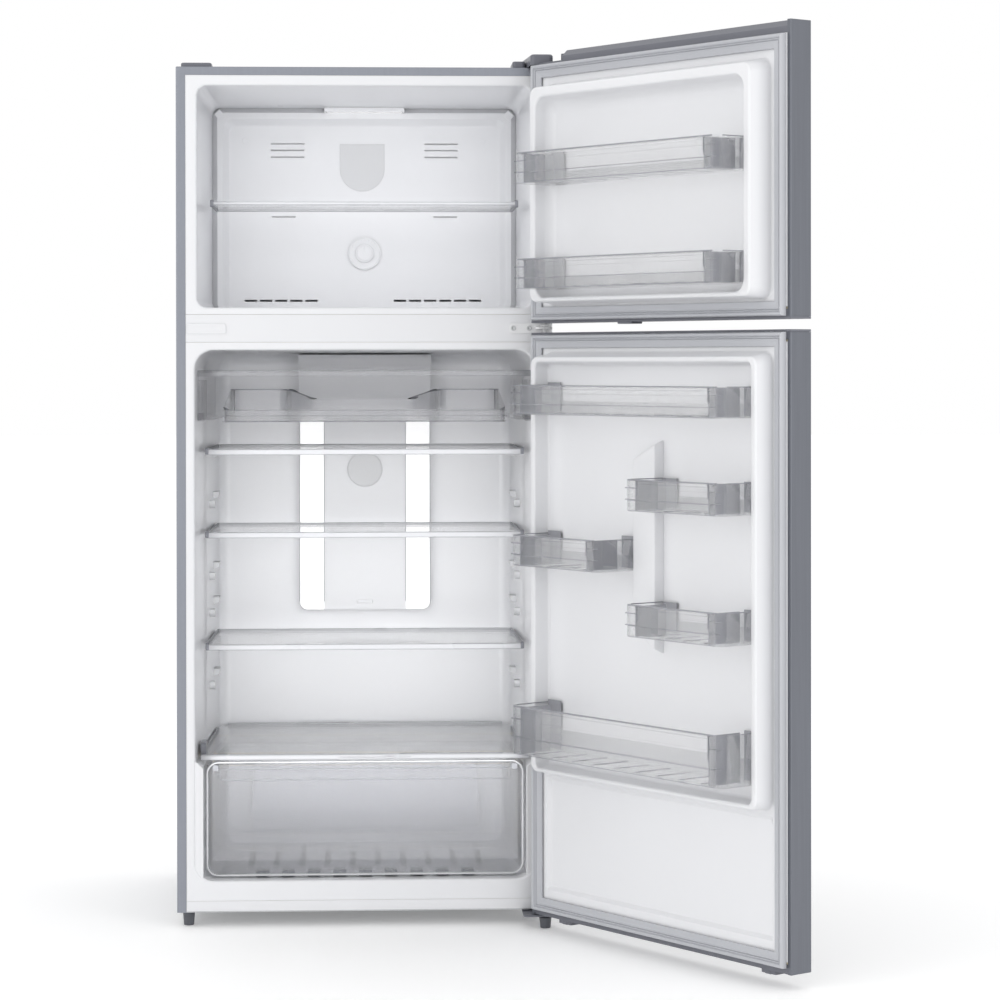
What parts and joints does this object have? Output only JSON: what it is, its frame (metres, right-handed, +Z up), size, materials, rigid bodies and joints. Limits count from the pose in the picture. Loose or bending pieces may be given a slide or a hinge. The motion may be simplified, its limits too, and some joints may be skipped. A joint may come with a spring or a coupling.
{
  "type": "top freezer refrigerator",
  "caption": "Tall two-door refrigerator with a freezer on top, shown with both doors standing open on clear door bins, glass shelves, a chiller tray and a crisper drawer.",
  "frame": {"origin": "centre of the whole object's box at floor level, with both doors standing open", "axes": "+Z up, +X to the right seen from the front, +Y to the back; the cabinet's front faces -Y"},
  "size_m": [1.1888, 1.3078, 1.7622],
  "materials": {
    "silver_steel": "satin silver grey with a fine dotted emboss",
    "white_liner": "smooth white moulded plastic",
    "insulation": "rigid foam",
    "copper": "drawn copper tube",
    "zinc_steel": "zinc plated sheet",
    "black_plastic": "matt moulded plastic",
    "black_steel": "black enamel",
    "alloy": "bare fins",
    "light_diffuser": "opal diffuser",
    "grey_plastic": "satin moulded plastic",
    "seal": "soft grey vinyl",
    "clear_plastic": "clear moulded plastic",
    "shelf_glass": "toughened glass with moulded trims"
  },
  "bodies": {
    "cabinet": {"cabinet_shell": "silver_steel", "freezer_liner": "white_liner", "fridge_liner": "white_liner", "cabinet_foam": "insulation", "condenser_tube": "copper", "base_pan": "zinc_steel", "mullion_cover": "white_liner", "mullion_cap": "white_liner", "kick_strip": "white_liner", "back_panel": "zinc_steel", "compressor_cover": "black_plastic", "compressor": "black_steel", "drip_pan": "black_plastic", "evaporator_cover": "white_liner", "evaporator": "alloy", "fan_motor": "black_plastic", "freezer_light": "light_diffuser", "dial_plate": "white_liner", "air_duct": "white_liner", "led_strip_left": "light_diffuser", "led_strip_right": "light_diffuser", "chiller_frame": "clear_plastic", "crisper_cover": "shelf_glass", "top_hinge": "zinc_steel", "top_hinge_cover": "grey_plastic", "top_cap_left": "grey_plastic", "middle_hinge": "white_liner", "lower_hinge": "grey_plastic"},
    "freezer_door": {"freezer_door_panel": "silver_steel", "freezer_door_liner": "white_liner", "freezer_door_foam": "insulation", "freezer_door_gasket": "seal", "freezer_door_top_cap": "grey_plastic", "freezer_door_bottom_cap": "grey_plastic"},
    "fridge_door": {"fridge_door_panel": "silver_steel", "fridge_door_liner": "white_liner", "fridge_door_foam": "insulation", "fridge_door_gasket": "seal", "fridge_door_top_cap": "grey_plastic", "fridge_door_bottom_cap": "grey_plastic"},
    "freezer_bin_upper": {"freezer_bin_upper": "clear_plastic"},
    "freezer_bin_lower": {"freezer_bin_lower": "clear_plastic"},
    "fridge_bin_1": {"fridge_bin_1": "clear_plastic"},
    "fridge_bin_2": {"fridge_bin_2": "clear_plastic"},
    "fridge_bin_3": {"fridge_bin_3": "clear_plastic"},
    "fridge_bin_4": {"fridge_bin_4": "clear_plastic"},
    "fridge_bin_5": {"fridge_bin_5": "clear_plastic"},
    "freezer_shelf": {"freezer_shelf": "shelf_glass"},
    "glass_shelf_1": {"glass_shelf_1": "shelf_glass"},
    "glass_shelf_2": {"glass_shelf_2": "shelf_glass"},
    "glass_shelf_3": {"glass_shelf_3": "shelf_glass"},
    "chiller_tray": {"chiller_tray": "clear_plastic"},
    "crisper_drawer": {"crisper_drawer": "clear_plastic"},
    "humidity_slider": {"humidity_slider": "white_liner"},
    "dial_knob": {"dial_knob": "white_liner"},
    "fan_blade": {"fan_blade": "white_liner"},
    "foot_left": {"foot_left": "black_plastic"},
    "foot_right": {"foot_right": "black_plastic"},
    "roller_left": {"roller_left": "black_plastic"},
    "roller_right": {"roller_right": "black_plastic"}
  },
  "joints": [
    {"name": "freezer_door_hinge", "type": "hinge", "parent": "cabinet", "child": "freezer_door", "pos_m": [0.14826, -0.03109, 1.49], "axis": [0, 0, 1], "range_deg": [-124.9, 15]},
    {"name": "fridge_door_hinge", "type": "hinge", "parent": "cabinet", "child": "fridge_door", "pos_m": [0.14826, -0.03109, 0.614], "axis": [0, 0, 1], "range_deg": [-124.9, 15]},
    {"name": "freezer_bin_upper_lift", "type": "slide", "parent": "freezer_door", "child": "freezer_bin_upper", "axis": [0, 0, 1], "range_m": [0, 0.03]},
    {"name": "freezer_bin_lower_lift", "type": "slide", "parent": "freezer_door", "child": "freezer_bin_lower", "axis": [0, 0, 1], "range_m": [0, 0.03]},
    {"name": "fridge_bin_1_lift", "type": "slide", "parent": "fridge_door", "child": "fridge_bin_1", "axis": [0, 0, 1], "range_m": [0, 0.015]},
    {"name": "fridge_bin_2_lift", "type": "slide", "parent": "fridge_door", "child": "fridge_bin_2", "axis": [0, 0, 1], "range_m": [0, 0.03]},
    {"name": "fridge_bin_3_lift", "type": "slide", "parent": "fridge_door", "child": "fridge_bin_3", "axis": [0, 0, 1], "range_m": [0, 0.03]},
    {"name": "fridge_bin_4_lift", "type": "slide", "parent": "fridge_door", "child": "fridge_bin_4", "axis": [0, 0, 1], "range_m": [0, 0.03]},
    {"name": "fridge_bin_5_lift", "type": "slide", "parent": "fridge_door", "child": "fridge_bin_5", "axis": [0, 0, 1], "range_m": [0, 0.03]},
    {"name": "freezer_shelf_slide", "type": "slide", "parent": "cabinet", "child": "freezer_shelf", "axis": [0, -1, 0], "range_m": [0, 0.1]},
    {"name": "glass_shelf_1_slide", "type": "slide", "parent": "cabinet", "child": "glass_shelf_1", "axis": [0, -1, 0], "range_m": [0, 0.1]},
    {"name": "glass_shelf_2_slide", "type": "slide", "parent": "cabinet", "child": "glass_shelf_2", "axis": [0, -1, 0], "range_m": [0, 0.1]},
    {"name": "glass_shelf_3_slide", "type": "slide", "parent": "cabinet", "child": "glass_shelf_3", "axis": [0, -1, 0], "range_m": [0, 0.1]},
    {"name": "chiller_tray_slide", "type": "slide", "parent": "cabinet", "child": "chiller_tray", "axis": [0, -1, 0], "range_m": [0, 0.2]},
    {"name": "crisper_drawer_slide", "type": "slide", "parent": "cabinet", "child": "crisper_drawer", "axis": [0, -1, 0], "range_m": [0, 0.3]},
    {"name": "humidity_slide", "type": "slide", "parent": "cabinet", "child": "humidity_slider", "axis": [1, 0, 0], "range_m": [-0.03, 0.03]},
    {"name": "dial_turn", "type": "hinge", "parent": "cabinet", "child": "dial_knob", "pos_m": [-0.21444, 0.49391, 1.38], "axis": [0, 1, 0], "range_deg": [-135, 135]},
    {"name": "fan_spin", "type": "hinge", "parent": "cabinet", "child": "fan_blade", "pos_m": [-0.21444, 0.54191, 1.59], "axis": [0, 1, 0], "continuous": true},
    {"name": "foot_left_turn", "type": "hinge", "parent": "cabinet", "child": "foot_left", "pos_m": [-0.57244, 0.03791, 0.008], "axis": [0, 0, 1], "range_deg": [-720, 720]},
    {"name": "foot_right_turn", "type": "hinge", "parent": "cabinet", "child": "foot_right", "pos_m": [0.14826, -0.03109, 0.008], "axis": [0, 0, 1], "range_deg": [-720, 720]},
    {"name": "roller_left_spin", "type": "hinge", "parent": "cabinet", "child": "roller_left", "pos_m": [-0.53244, 0.60391, 0.015], "axis": [1, 0, 0], "continuous": true},
    {"name": "roller_right_spin", "type": "hinge", "parent": "cabinet", "child": "roller_right", "pos_m": [0.10356, 0.60391, 0.015], "axis": [1, 0, 0], "continuous": true}
  ]
}
